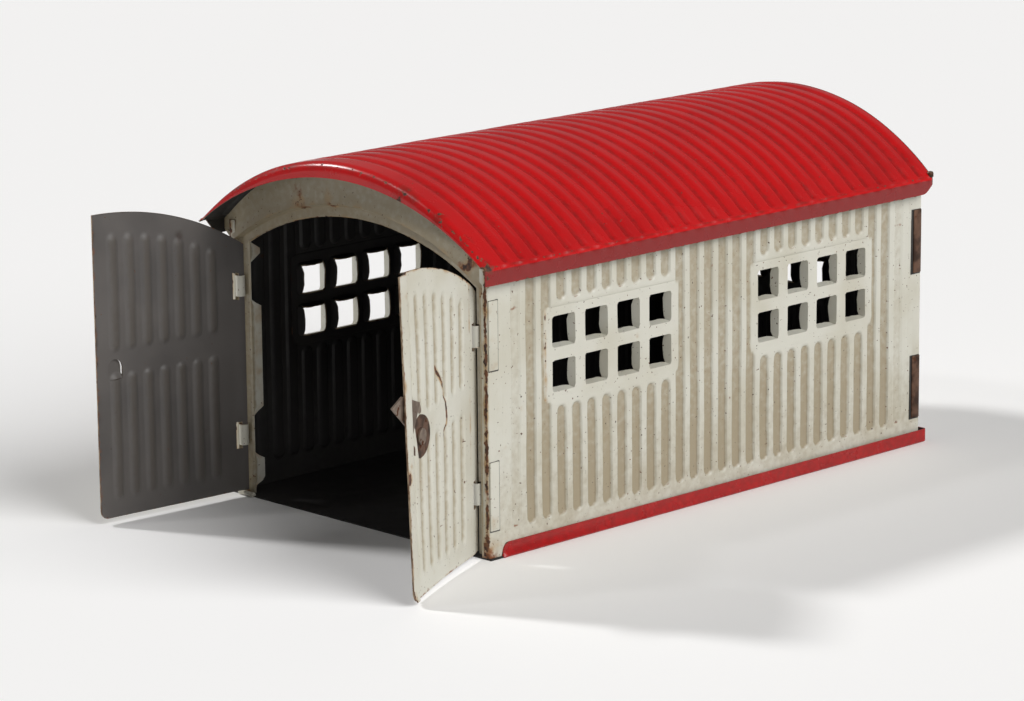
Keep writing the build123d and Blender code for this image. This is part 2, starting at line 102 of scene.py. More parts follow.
# Materials
def linear(hexColour):  # an sRGB hex colour as the linear values that a socket takes
    parts = [int(hexColour[i:i + 2], 16) / 255 for i in (0, 2, 4)]
    return [c / 12.92 if c <= 0.04045 else ((c + 0.055) / 1.055) ** 2.4 for c in parts] + [1.0]


def addNode(tree, kind, inputs=None, **settings):
    node = tree.nodes.new("ShaderNode" + kind)
    for key, value in settings.items():
        setattr(node, key, value)
    for key, value in (inputs or {}).items():
        if isinstance(value, bpy.types.NodeSocket):
            tree.links.new(value, node.inputs[key])
        else:
            node.inputs[key].default_value = value
    return node


def patches(tree, where, size, low, high, extra=None, detail=4.0):
    # Ragged patches of about that size in millimetres; a mark on the surface, extra, makes them likelier
    cloud = addNode(tree, "TexNoise", {"Vector": where, "Scale": 1 / size, "Detail": detail}).outputs["Fac"]
    if extra is not None:
        cloud = addNode(tree, "Math", {0: cloud, 1: extra}, operation="ADD").outputs[0]
    band = {"Value": cloud, "From Min": low, "From Max": high}
    return addNode(tree, "MapRange", band, interpolation_type="SMOOTHSTEP").outputs["Result"]


markKeys = ("groove", "wear", "rust")  # what each vertex says of its grime and painted shade, its chips and its rust
ageing = {  # sizes in millimetres, and the bands of the noise over which each mark sets in
    "agedBand": (0.4, 0.68), "soilAndShadeSize": 1.8, "stainSize": 4.5, "stainBand": (0.72, 1.15),
    "rustSize": 2.2, "rustBand": (0.82, 1.08), "chipBand": (0.98, 1.02), "speckSpan": 0.03,
    "brownSize": 1.3, "brownBand": (0.35, 0.65), "smearSize": 9.0, "smearBand": (0.3, 0.7), "smearing": 0.12,
    "bareRoughness": 0.72, "peelSize": 0.7, "peelHeight": 0.05, "paintDepth": 0.06,
}


def stoved(name, look):
    # Stoved enamel on tinplate, named by its colour: glossy where whole, dull brown where it has chipped
    material = bpy.data.materials.new(name)
    material.use_nodes = True
    tree = material.node_tree
    shader = tree.nodes["Principled BSDF"]
    where = addNode(tree, "TexCoord").outputs["Object"]
    where = addNode(tree, "Mapping", {"Vector": where, "Scale": (1 / mm, 1 / mm, 1 / mm)}).outputs["Vector"]
    marks = {key: addNode(tree, "Attribute", attribute_name=key).outputs["Fac"] for key in markKeys}
    aged = patches(tree, where, look["agedSize"], *ageing["agedBand"])
    layer = {0: aged, 6: linear(look["colour"]), 7: linear(look["aged"])}
    colour = addNode(tree, "Mix", layer, data_type="RGBA").outputs[2]
    # Grime gathers in the grooves, and the same darker layer is painted shade on some pieces; brown stains
    # round the worn places, and rust creeps under the paint
    for key, mark, size, band, detail in (
        ("soilAndShade", "groove", ageing["soilAndShadeSize"], look["soilAndShadeBand"], 6.0),
        ("stain", "wear", ageing["stainSize"], ageing["stainBand"], 4.0),
        ("rust", "rust", ageing["rustSize"], ageing["rustBand"], 6.0),
    ):
        spread = patches(tree, where, size, *band, extra=marks[mark], detail=detail)
        layer = {0: spread, 6: colour, 7: linear(look[key])}
        colour = addNode(tree, "Mix", layer, data_type="RGBA").outputs[2]
    rusted = spread
    # Chips at the edges and specks all over show bare metal, in two browns
    chipped = patches(tree, where, look["chipSize"], *ageing["chipBand"], extra=marks["wear"], detail=6.0)
    speckBand = (look["speckFrom"], look["speckFrom"] + ageing["speckSpan"])
    specked = patches(tree, where, look["speckSize"], *speckBand, detail=2.0)
    bare = addNode(tree, "Math", {0: chipped, 1: specked}, operation="MAXIMUM").outputs[0]
    brown = patches(tree, where, ageing["brownSize"], *ageing["brownBand"])
    layer = {0: brown, 6: linear(look["chip"]), 7: linear(look["chipLight"])}
    metal = addNode(tree, "Mix", layer, data_type="RGBA").outputs[2]
    colour = addNode(tree, "Mix", {0: bare, 6: colour, 7: metal}, data_type="RGBA").outputs[2]
    tree.links.new(colour, shader.inputs["Base Color"])
    # Handling leaves the gloss smeared, and where the paint is gone it is dull
    dull = addNode(tree, "Math", {0: bare, 1: rusted}, operation="MAXIMUM").outputs[0]
    smear = patches(tree, where, ageing["smearSize"], *ageing["smearBand"])
    smeared = look["roughness"] + ageing["smearing"]
    gloss = addNode(tree, "Mix", {0: smear, 2: look["roughness"], 3: smeared}).outputs[0]
    roughness = addNode(tree, "Mix", {0: dull, 2: gloss, 3: ageing["bareRoughness"]}).outputs[0]
    tree.links.new(roughness, shader.inputs["Roughness"])
    # A faint orange peel, and chips as deep as the paint
    peelScale = 1 / ageing["peelSize"]
    peel = addNode(tree, "TexNoise", {"Vector": where, "Scale": peelScale, "Detail": 2.0}).outputs["Fac"]
    height = addNode(tree, "Math", {0: peel, 1: ageing["peelHeight"]}, operation="MULTIPLY").outputs[0]
    height = addNode(tree, "Math", {0: height, 1: bare}, operation="SUBTRACT").outputs[0]
    depth = ageing["paintDepth"] * mm
    bump = addNode(tree, "Bump", {"Height": height, "Strength": 0.5, "Distance": depth})
    tree.links.new(bump.outputs["Normal"], shader.inputs["Normal"])
    shader.inputs["IOR"].default_value = 1.52  # enamel is close to glass
    return material


chips = {"chip": "2E1B14", "chipLight": "6B4228", "chipSize": 1.5}
# Aged satin cream: warm pale grey, brown where grime lies in its grooves, and darker as painted shade over the
# front frame and the walls' feet
creamEnamel = stoved("cream_stoved_enamel", {
    **chips, "colour": "C9C7BB", "aged": "BEBAAA", "agedSize": 24.0,
    "soilAndShade": "9A8E76", "soilAndShadeBand": (0.7, 1.85), "stain": "A98B62", "rust": "7A4420",
    "speckSize": 0.75, "speckFrom": 0.695, "roughness": 0.34,
})
# Deep glossy red, darker where grime lies in its grooves, and darker still as painted shade over the fascias
# and skirting
redEnamel = stoved("red_stoved_enamel", {
    **chips, "colour": "BE0A0E", "aged": "B00A0E", "agedSize": 26.0,
    "soilAndShade": "7E100E", "soilAndShadeBand": (0.9, 2.1), "stain": "8A1A14", "rust": "6A3020",
    "speckSize": 0.8, "speckFrom": 0.73, "roughness": 0.18,
})
redEnamel.node_tree.nodes["Principled BSDF"].inputs["Specular IOR Level"].default_value = 0.4
# The insides are only primed: a dull warm grey on the doors; in the body the primer is made near black, darker
# than the doors', as painted shade
doorLining = stoved("grey_priming_paint", {
    **chips, "colour": "5C5855", "aged": "504D4B", "agedSize": 24.0,
    "soilAndShade": "544F4A", "soilAndShadeBand": (0.9, 1.6), "stain": "3A2E28", "rust": "6E4630",
    "speckSize": 0.9, "speckFrom": 0.74, "roughness": 0.45,
})
shadedBodyLining = stoved("dark_primer_and_painted_shade", {
    **chips, "colour": "2C2A28", "aged": "222120", "agedSize": 24.0,
    "soilAndShade": "1A1716", "soilAndShadeBand": (0.9, 1.6), "stain": "241A16", "rust": "3A261C",
    "speckSize": 0.9, "speckFrom": 0.8, "roughness": 0.6,
})


tarnish = {  # sizes in millimetres
    "blotchSize": 3.2, "rustSize": 2.6, "rust": "5A3420", "rustRoughness": 0.75, "grain": 0.4, "metallic": 0.75,
}


def brownTin(name, dark, light, roughness):
    # Bare tinplate gone brown: still metal, blotched by handling
    material = bpy.data.materials.new(name)
    material.use_nodes = True
    tree = material.node_tree
    shader = tree.nodes["Principled BSDF"]
    where = addNode(tree, "TexCoord").outputs["Object"]
    where = addNode(tree, "Mapping", {"Vector": where, "Scale": (1 / mm, 1 / mm, 1 / mm)}).outputs["Vector"]
    blotch = patches(tree, where, tarnish["blotchSize"], 0.36, 0.66)
    layer = {0: blotch, 6: linear(dark), 7: linear(light)}
    colour = addNode(tree, "Mix", layer, data_type="RGBA").outputs[2]
    rusted = patches(tree, where, tarnish["rustSize"], 0.64, 0.68, detail=6.0)
    layer = {0: rusted, 6: colour, 7: linear(tarnish["rust"])}
    colour = addNode(tree, "Mix", layer, data_type="RGBA").outputs[2]
    tree.links.new(colour, shader.inputs["Base Color"])
    polish = addNode(tree, "Mix", {0: rusted, 2: roughness, 3: tarnish["rustRoughness"]}).outputs[0]
    tree.links.new(polish, shader.inputs["Roughness"])
    grainScale = 1 / tarnish["grain"]
    grain = addNode(tree, "TexNoise", {"Vector": where, "Scale": grainScale, "Detail": 4.0}).outputs["Fac"]
    bump = addNode(tree, "Bump", {"Height": grain, "Strength": 0.35, "Distance": 0.00005})
    tree.links.new(bump.outputs["Normal"], shader.inputs["Normal"])
    shader.inputs["Metallic"].default_value = tarnish["metallic"]
    return material


latchTin = brownTin("brown_bare_tinplate", "6E5F54", "8E7F72", 0.42)
darkTin = brownTin("dark_bare_tinplate", "3C2A20", "6E5242", 0.5)
cutEdge = brownTin("cut_tinplate_edge", "6A5442", "A8967E", 0.5)
creamSheet = (creamEnamel, shadedBodyLining, cutEdge)  # outside, inside and cut edges of the body's sheets
print("materials made")


# Pieces are pressed from flat grids, then given the sheet's thickness
flatKeys = ("flatU", "flatV")  # where each vertex lies on the flat blank, kept while a piece is made


def pressedSheet(us, vs, place, marks, gone=None, flip=False):
    # The grid's own lines are us and vs; place(u, v) gives the pressed point in millimetres
    sheet = bmesh.new()
    bmesh.ops.create_grid(sheet, x_segments=len(us) - 1, y_segments=len(vs) - 1, size=1)
    flat = [sheet.verts.layers.float.new(key) for key in flatKeys]
    layers = {key: sheet.verts.layers.float.new(key) for key in markKeys}
    for vert in sheet.verts:
        vert[flat[0]] = us[round((vert.co.x + 1) / 2 * (len(us) - 1))]
        vert[flat[1]] = vs[round((vert.co.y + 1) / 2 * (len(vs) - 1))]
    if gone:
        cut = [face for face in sheet.faces if gone(*(sum(v[key] for v in face.verts) / 4 for key in flat))]
        bmesh.ops.delete(sheet, geom=cut, context="FACES_ONLY")
        bmesh.ops.delete(sheet, geom=[e for e in sheet.edges if not e.link_faces], context="EDGES")
        bmesh.ops.delete(sheet, geom=[v for v in sheet.verts if not v.link_edges], context="VERTS")
    for vert in sheet.verts:
        u, v = (round(vert[key], 4) for key in flat)
        vert.co = Vector(place(u, v)) * mm
        for key, rule in marks.items():
            vert[layers[key]] = rule(u, v)
    if flip:
        bmesh.ops.reverse_faces(sheet, faces=sheet.faces[:])
    return sheet


def faceOutward(sheet, outward):
    bmesh.ops.recalc_face_normals(sheet, faces=sheet.faces[:])
    facing = [(face.normal.dot(outward), face.calc_area()) for face in sheet.faces]
    if sum(lean * area for lean, area in facing if abs(lean) > 0.9) < 0:
        bmesh.ops.reverse_faces(sheet, faces=sheet.faces[:])


def makePiece(name, shape, materials, body, gauge=None, stands=()):
    data = bpy.data.meshes.new(name)
    for key in flatKeys:
        if key in shape.verts.layers.float:
            shape.verts.layers.float.remove(shape.verts.layers.float[key])
    shape.to_mesh(data)
    shape.free()
    piece = bpy.data.objects.new(name, data)
    scene.collection.objects.link(piece)
    for material in materials:
        data.materials.append(material)
    if gauge:
        skin = piece.modifiers.new("gauge", "SOLIDIFY")
        skin.thickness = gauge * mm
        skin.offset = -1
        skin.material_offset = 1
        skin.material_offset_rim = 2
        bpy.context.view_layer.update()
        solid = bpy.data.meshes.new_from_object(piece.evaluated_get(bpy.context.evaluated_depsgraph_get()))
        piece.modifiers.clear()
        piece.data = solid
        solid.name = name
    piece.data.polygons.foreach_set("use_smooth", [True] * len(piece.data.polygons))
    piece.data.set_sharp_from_angle(angle=math.radians(38))  # folds stay crisp, pressed curves smooth
    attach(piece, body)
    if stands:
        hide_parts(*stands)


# Side walls
wall = {
    "pitch": 5.556, "count": 26, "foot": 6.6, "top": 74.6, "slotFoot": 63.4, "slotTop": 36.4,
    "panelStart": 14.1, "panelEnd": 64.3, "panelFoot": 37.3, "panelTop": 62.3, "panelStep": 0.3,
    "panelRound": 2, "window": 39.2, "paneWidth": 8.4, "paneHeight": 8.3, "mullion": 3.6, "glazingBar": 3.3,
    "paneRound": 0.9, "tongue": 2.6, "tongueBlunt": 0.45, "tongueRagged": 0.25, "tongueLean": 0.2,
    "cornerRound": 0.7, "flange": 2.6, "bottom": 0.45, "wave": 0.16, "ripple": 0.1,
    "fading": ((70, 1), (76, 0.5), (85, 0.22)),  # how fully the grooves are pressed, up to each reach
}
wallCentres = [(i - (wall["count"] - 1) / 2) * wall["pitch"] for i in range(-2, wall["count"] + 2)]
panes = [
    (
        side * wall["window"] + (column - 1.5) * (wall["paneWidth"] + wall["mullion"]),
        (wall["panelFoot"] + wall["panelTop"]) / 2 + (row - 0.5) * (wall["paneHeight"] + wall["glazingBar"]),
    )
    for side in (-1, 1) for column in range(4) for row in range(2)
]


def wallGroove(y, z):
    best = 0
    for centre in wallCentres:
        if abs(y - centre) > tin["grooveWidth"] / 2:
            continue
        if wall["panelStart"] + 1 < abs(centre) < wall["panelEnd"] - 1:
            low = grooveAt(y - centre, z, wall["foot"], wall["slotTop"], tin["grooveWidth"])
            best = max(low, grooveAt(y - centre, z, wall["slotFoot"], wall["top"], tin["grooveWidth"]))
        else:
            best = grooveAt(y - centre, z, wall["foot"], wall["top"], tin["grooveWidth"])
            pressed = next(share for reach, share in wall["fading"] if abs(centre) < reach)
            best *= (1 - inPanel(y, z)) * pressed
    return best


def panelAt(across, along):  # 1 on a panes' panel, from how far inside its borders a point is
    inside = min(across, along)
    bend = wall["panelRound"]
    if across < bend and along < bend:
        inside = bend - math.hypot(bend - across, bend - along)
    return ease(inside, -0.15, 0.3)


def inPanel(y, z):
    across = min(abs(y) - wall["panelStart"], wall["panelEnd"] - abs(y))
    return panelAt(across, min(z - wall["panelFoot"], wall["panelTop"] - z))


def softened(u, v, middles):  # the corners of the panes are a little round
    for u0, v0 in middles:
        du, dv = u - u0, v - v0
        if abs(abs(du) - wall["paneWidth"] / 2) < 0.01 and abs(abs(dv) - wall["paneHeight"] / 2) < 0.01:
            pull = wall["paneRound"] * 0.293  # a rounded corner's share of its radius
            return u - math.copysign(pull, du), v - math.copysign(pull, dv)
    return u, v


def inPane(u, v, middles):
    halfWide, halfHigh = wall["paneWidth"] / 2, wall["paneHeight"] / 2
    return any(abs(u - u0) < halfWide and abs(v - v0) < halfHigh for u0, v0 in middles)


def paneLines(middles, which):  # grid lines through the panes' edges and round corners
    half = wall["paneHeight" if which else "paneWidth"] / 2
    lines = sorted({round(middle[which], 4) for middle in middles})
    return [c + k * (half - d) for c in lines for k in (-1, 1) for d in (0, wall["paneRound"])]


def turnTongues(sheet, middles, inward, sideways):
    # The metal of each pane is cut crosswise and turned in as four blunt tongues
    halves = (wall["paneWidth"] / 2, wall["paneHeight"] / 2)
    flatU, flatV = (sheet.verts.layers.float[key] for key in flatKeys)
    turned = sheet.verts.layers.int.new("turned")
    rims = [edge for edge in sheet.edges if edge.is_boundary]

    def onSide(vert, u0, v0, du, dv):
        u, v = vert[flatU] - u0, vert[flatV] - v0
        if du:
            return not vert[turned] and abs(u - du * halves[0]) < 0.01 and abs(v) < halves[1] + 0.01
        return not vert[turned] and abs(v - dv * halves[1]) < 0.01 and abs(u) < halves[0] + 0.01

    for u0, v0 in middles:
        for du, dv in ((-1, 0), (1, 0), (0, -1), (0, 1)):
            side = [e for e in rims if e.is_valid and all(onSide(v, u0, v0, du, dv) for v in e.verts)]
            grown = bmesh.ops.extrude_edge_only(sheet, edges=side)
            for vert in [g for g in grown["geom"] if isinstance(g, bmesh.types.BMVert)]:
                u, v = vert.co.dot(sideways) / mm, vert.co.z / mm
                t = (v - v0) / halves[1] if du else (u - u0) / halves[0]
                reach = wall["tongue"] * (1 - wall["tongueBlunt"] * min(abs(t), 1) ** 4)
                reach += wall["tongueRagged"] * dent(u, v, 1.5, 1.2)
                lean = wall["tongueLean"] * reach
                vert.co += (inward * reach - sideways * du * lean - Vector((0, 0, dv * lean))) * mm
                vert[turned] = 1
    sheet.verts.layers.int.remove(turned)


def wallPoint(side, s, z, depth):  # s runs along the wall and on round its corner flanges
    bend = wall["cornerRound"]
    past = abs(s) - (tin["halfLength"] - bend)
    x, y = tin["halfWidth"] - depth, s
    if past > 0:
        turn = min(past / bend, math.pi / 2)
        x = tin["halfWidth"] - bend + (bend - depth) * math.cos(turn) - max(past - bend * math.pi / 2, 0)
        y = math.copysign(tin["halfLength"] - bend + (bend - depth) * math.sin(turn), s)
    return side * x, y, z


def makeWall(name, side):
    # Grid lines follow the panels' borders, the folded corners and the grooves' ends
    bend = wall["cornerRound"]
    flangeEnd = tin["halfLength"] - bend * (1 - math.pi / 2) + wall["flange"] - bend
    borders = (wall["panelStart"], wall["panelEnd"])
    panelYs = [k * (border + d) for border in borders for k in (-1, 1) for d in (-0.2, 0.2)]
    cornerYs = [k * (tin["halfLength"] - bend + d) for k in (-1, 1) for d in (0, 0.35, 0.7, 1.1)]
    us = gathered(
        paneLines(panes, 0) + [-flangeEnd, flangeEnd],
        grooveLines(wallCentres, tin["grooveWidth"]) + panelYs + cornerYs + spaced(-84, 84, 2.2), 0.16,
    )
    ends = (wall["foot"], wall["slotTop"] - 1.35, wall["slotFoot"], wall["top"] - 1.35)
    vs = gathered(
        paneLines(panes, 1) + [wall["bottom"], tin["wallHeight"]],
        [z + d for z in ends for d in (0, 0.3, 0.7, 1.1, 1.5)]
        + [wall["panelFoot"] + d for d in (-0.15, 0.2)] + [wall["panelTop"] + d for d in (-0.2, 0.15)]
        + spaced(1.5, 75, 1.6), 0.16,
    )

    def sink(s, z):
        waves = wall["wave"] * dent(s, z, side * 3.7) + wall["ripple"] * dent(s, z, side * 9.1, 7.0)
        shelter = ease(z, 0.5, 4) * (1 - ease(z, 72, 75)) * (1 - ease(abs(s), 78, 83))  # flat at the folds
        pressed = tin["grooveDepth"] * wallGroove(s, z) + wall["panelStep"] * inPanel(s, z)
        return pressed + (waves + tin["settle"]) * shelter

    def place(s, z):
        s, z = softened(s, z, panes)
        return wallPoint(side, s, z, sink(s, z))

    def wear(s, z):  # most along the front corner, then the panel's front border and the foot
        corner = 0.66 * near(s + 85.3, 1.1) + 0.3 * near(s - 85.2, 1.2)
        border = 0.5 * near(s + wall["panelEnd"] - 0.5, 1.2) * inPanel(s + 1, z)
        foot = 0.5 * near(z - 3.5, 4.5) * near(s + 84, 14) + 0.25 * near(z, 2)
        return max(corner, border, foot, spotsAt(s, z, wallSpots))

    def rust(s, z):  # at the front foot, over the skirting, on the grooves' rounded ends and up the corner
        deep = wallGroove(s, z)
        ends = 1.9 * deep * (1 - deep) * max(near(z - 64.0, 1.3), near(z - 7.2, 1.3))
        foot = max(0.62 * near(z - 1, 6) * near(s + 85, 7), 0.3 * near(z - 4.3, 1.6))
        return max(foot, ends, 0.4 * near(s + 85.2, 1.2))

    def grimeAndShade(s, z):  # grime lies in the grooves, and towards its foot the wall is darkened as painted shade
        low = 1 - ease(z, 6, 48)
        return max(wallGroove(s, z) * (1 + 0.35 * low), 0.6 * low)

    marks = {"groove": grimeAndShade, "wear": wear, "rust": rust}
    sheet = pressedSheet(us, vs, place, marks, lambda s, z: inPane(s, z, panes), side < 0)
    turnTongues(sheet, panes, Vector((-side, 0, 0)), Vector((0, 1, 0)))
    faceOutward(sheet, Vector((side, 0, 0)))
    makePiece(name, sheet, creamSheet, "garage", tin["gauge"], (name,))


# Worn spots: (along the wall, height, reach, strength)
wallSpots = [
    (-72, 60, 2.5, 0.42), (-73, 38, 2.0, 0.4), (-71, 22, 2.2, 0.4), (-79, 30, 3.0, 0.34),
    (-52, 50, 1.5, 0.42), (-30, 50, 1.6, 0.38), (12, 30, 2.0, 0.36), (40, 22, 2.0, 0.36),
    (70, 64, 2.0, 0.38), (8, 62, 1.6, 0.38),
]
makeWall("right_wall", 1)
makeWall("left_wall", -1)
print("side walls made")


# Arched ends
gable = {
    "crown": 96.65, "radius": 72.95, "half": 51.4, "shoulder": 72.6, "innerHalf": 49.05, "foot": 0.45,
    "shoulderTurn": (0.96, 0.97),  # the outline's parameter where it steps out under the eave
}
rear = {
    "pitch": 5.556, "count": 15, "foot": 6.6, "margin": 7.5, "face": 84.6,
    "panelHalf": 19.1, "panelFoot": 37.3, "panelTop": 62.5,
}
rearPanes = [
    (
        column * (wall["paneWidth"] + wall["mullion"]),
        (rear["panelFoot"] + rear["panelTop"]) / 2 + (row - 0.5) * (wall["paneHeight"] + wall["glazingBar"]),
    )
    for column in (-1, 0, 1) for row in range(2)
]
rearCentres = [(i - (rear["count"] - 1) / 2) * rear["pitch"] for i in range(rear["count"])]


def rearTop(x):
    return archTop(x, gable["crown"], gable["radius"])


def rearGroove(x, v):
    z = rearHeight(x, v)
    best = 0
    for centre in rearCentres:
        top = rearTop(centre) - rear["margin"]
        if abs(x - centre) > tin["grooveWidth"] / 2:
            continue
        if abs(centre) < rear["panelHalf"] - 1:
            best = grooveAt(x - centre, z, rear["foot"], rear["panelFoot"] - 0.9, tin["grooveWidth"])
            best = max(best, grooveAt(x - centre, z, rear["panelTop"] + 1, top, tin["grooveWidth"]))
        else:
            best = grooveAt(x - centre, z, rear["foot"], top, tin["grooveWidth"]) * (1 - inRearPanel(x, z))
    return best


def inRearPanel(x, z):
    return panelAt(rear["panelHalf"] - abs(x), min(z - rear["panelFoot"], rear["panelTop"] - z))


def rearHeight(x, v):
    return rowHeight(v, gable["shoulder"], gable["crown"], rearTop(x))


def makeRearWall():
    us = gathered(
        paneLines(rearPanes, 0) + [-gable["half"], -gable["innerHalf"], gable["innerHalf"], gable["half"]],
        grooveLines(rearCentres, tin["grooveWidth"]) + spaced(-49, 49, 2.2),
    )
    vs = gathered(
        paneLines(rearPanes, 1) + [gable["foot"], gable["shoulder"], gable["crown"]],
        spaced(0.5, 72, 1.3) + spaced(73, 97, 0.8),
    )

    def place(x, v):
        x, v = softened(x, v, rearPanes)
        z = rearHeight(x, v)
        sunk = tin["grooveDepth"] * rearGroove(x, v) + 0.12 * dent(x, z, 5.5) * ease(49 - abs(x), 0, 4)
        sunk += wall["panelStep"] * inRearPanel(x, z)
        return x, rear["face"] - sunk - tin["settle"], z

    marks = {
        "groove": rearGroove,
        "wear": lambda x, v: max(0.3 * near(abs(x) - 49, 1.5), 0.25 * near(v, 3)),
        "rust": lambda x, v: 0.3 * near(v, 4),
    }

    def gone(x, v):
        return abs(x) > gable["innerHalf"] and v < gable["shoulder"] or inPane(x, v, rearPanes)

    sheet = pressedSheet(us, vs, place, marks, gone, True)
    turnTongues(sheet, rearPanes, Vector((0, -1, 0)), Vector((1, 0, 0)))
    faceOutward(sheet, Vector((0, 1, 0)))
    makePiece("rear_wall", sheet, creamSheet, "garage", tin["gauge"], ("rear_wall",))


makeRearWall()

frontFrame = {
    "face": 84.6, "foot": 0.5, "doorwayHalf": 43.5, "doorwayCrown": 81.6, "doorwayRise": 11.9,
    "rebate": 1.5, "ridge": 0.65, "stepHalf": 46.6, "stepCrown": 84.8, "stepRise": 14.3, "stepWidth": 0.45,
    "edgeBend": 0.35, "return": 3.3, "returnSpans": ((3.0, 10.8), (23.0, 53.0), (65.0, 69.0)),
}


def contour(half, spring, crown, t):  # t runs 0 to 1 up the right jamb, 1 to 3 over the arch, 3 to 4 down
    if t <= 1 or t >= 3:
        rise = t if t <= 1 else 4 - t
        return (half if t <= 1 else -half), frontFrame["foot"] + rise * (spring - frontFrame["foot"])
    rise = crown - spring
    radius = (half * half + rise * rise) / (2 * rise)
    angle = math.asin(half / radius) * (2 - t)
    return radius * math.sin(angle), crown - radius + radius * math.cos(angle)


def outerContour(t):  # the gable's own outline, with its shoulders under the eaves
    side = 1 if t < 2 else -1
    k = t if t < 2 else 4 - t
    stepFrom, stepTo = gable["shoulderTurn"]
    if k <= stepFrom:
        z = frontFrame["foot"] + k / stepFrom * (gable["shoulder"] - frontFrame["foot"])
        return side * gable["innerHalf"], z
    if k <= stepTo:
        return side * gable["half"], gable["shoulder"]
    if k <= 1.0:
        rise = rearTop(gable["half"]) - gable["shoulder"]
        return side * gable["half"], gable["shoulder"] + (k - stepTo) / 0.03 * rise
    angle = math.asin(gable["half"] / gable["radius"]) * (2 - k)
    return side * gable["radius"] * math.sin(angle), gable["crown"] - gable["radius"] * (1 - math.cos(angle))


def makeFrontFrame():
    stepFrom, stepTo = gable["shoulderTurn"]
    ts = gathered(
        [0, stepFrom, stepTo, 1, 2, 3, 4 - stepTo, 4 - stepFrom, 4],
        spaced(0, 0.95, 0.015) + spaced(1.02, 2.98, 0.02) + spaced(3.05, 4, 0.015), 0.004,
    )
    # Across: 0 at the outline, 1 at the step's head, 2 at its foot, 3 at the doorway, 4 at the return's end
    ws = [0, 0.4, 0.8, 0.92, 1, 1.25, 1.5, 1.75, 2, 2.1, 2.5, 2.85, 2.95, 3, 3.15, 3.4, 3.7, 4]
    f = frontFrame

    def place(t, w):
        outer = Vector(outerContour(t))
        grow = f["stepWidth"]
        spring = f["stepCrown"] - f["stepRise"]
        head = Vector(contour(f["stepHalf"] + grow, spring, f["stepCrown"] + grow, t))
        foot = Vector(contour(f["stepHalf"] - grow, spring, f["stepCrown"] - grow, t))
        edge = Vector(contour(f["doorwayHalf"], f["doorwayCrown"] - f["doorwayRise"], f["doorwayCrown"], t))
        y = -f["face"] - f["ridge"] * near(w - 1, 0.5)
        if w <= 1:
            point = outer.lerp(head, w)
        elif w <= 2:
            point = head.lerp(foot, w - 1)
            y += f["rebate"] * ease(w, 1, 2)
        elif w <= 3:
            point = foot.lerp(edge, w - 2)
            y += f["rebate"] + f["edgeBend"] * ease(w, 2.85, 3)
        else:
            point = edge
            # The jambs' inner edges are turned in only along three short spans
            spans = f["returnSpans"] if abs(edge.x) > f["doorwayHalf"] - 0.01 else ()
            insides = [min(edge.y - low, high - edge.y) for low, high in spans]
            turned = max((ease(inside, -0.8, 1.2) for inside in insides), default=0)
            y += f["rebate"] + f["edgeBend"] + (0.2 + f["return"] * turned) * (w - 3)
        x, z = point
        bent = 0.3 * dent(x * 1.3, z * 1.3, 2.2, 16.0) * ease(z, 68, 76)
        return x, y + bent * (1 if w <= 2.6 else 0.6), z

    def wear(t, w):
        x, z = contour(f["stepHalf"], f["stepCrown"] - f["stepRise"], f["stepCrown"], t)
        edge = 0.5 * near(w - 3, 0.3) + 0.32 * near(w - 1, 0.2)
        return max(edge * ease(z, 60, 75), 0.3 * (w > 3.2), spotsAt(x, z + 3 * (1.5 - w), frameSpots))

    def rust(t, w):
        x, z = contour(f["stepHalf"], f["stepCrown"] - f["stepRise"], f["stepCrown"], t)
        return max(0.35 * near(z, 5), 0.9 * spotsAt(x, z + 3 * (1.5 - w), frameSpots))

    def grimeAndShade(t, w):  # painted shade darkens the whole face, most in the recess under the step; the turned-in edges are hardly darkened
        return 0.1 if w > 3.2 else 1.15 + 0.5 * near(w - 1.5, 0.7)

    marks = {"groove": grimeAndShade, "wear": wear, "rust": rust}
    sheet = pressedSheet(ts, ws, place, marks)
    faceOutward(sheet, Vector((0, -1, 0)))
    makePiece("front_frame", sheet, creamSheet, "garage", tin["gauge"], ("front_frame",))


# Rust and dents over the doorway, at its right shoulder and where the left jamb meets the eave
frameSpots = [
    (-20, 83, 5, 0.58), (-9, 84.5, 4, 0.6), (-4, 85, 3, 0.5),
    (41, 76, 5, 0.6), (46, 71, 4, 0.58), (-48, 72, 3, 0.6),
]
makeFrontFrame()
print("arched ends made")


# Tabs, folded back over the side walls through their slots
tabs = {
    "height": 18.0, "width": 3.2, "heights": (16.6, 58.4), "round": 0.25,
    "frontStart": 84.7, "rearStart": 84.4, "sunk": 0.05, "proud": 0.42,
}
slotShadows = {  # dark plates painted as the shadowed gaps that show round the tabs
    "sunk": 0.3, "proud": 0.03, "below": 0.35, "above": 0.1, "round": 0.02,
    "past": {"front": (0.1, 0.35), "rear": (-0.6, 0)},
}
jambFoot = {"low": (-47.3, -86.1, 0.15), "high": (-41.2, -84.5, 1.3), "round": 0.5}


def softBlock(low, high, rounding, segments=2):
    block = bmesh.new()
    bmesh.ops.create_cube(block, size=1)
    for vert in block.verts:
        vert.co = Vector([(low[i] if vert.co[i] < 0 else high[i]) * mm for i in range(3)])
    bmesh.ops.bevel(
        block, geom=block.edges[:], offset=rounding * mm, segments=segments, profile=0.5, material=-1,
        affect="EDGES",
    )
    return block


def markAll(shape, wear, rust, groove=0.0):
    for key, value in zip(markKeys, (groove, wear, rust)):
        layer = shape.verts.layers.float.new(key)
        for vert in shape.verts:
            vert[layer] = value
    return shape


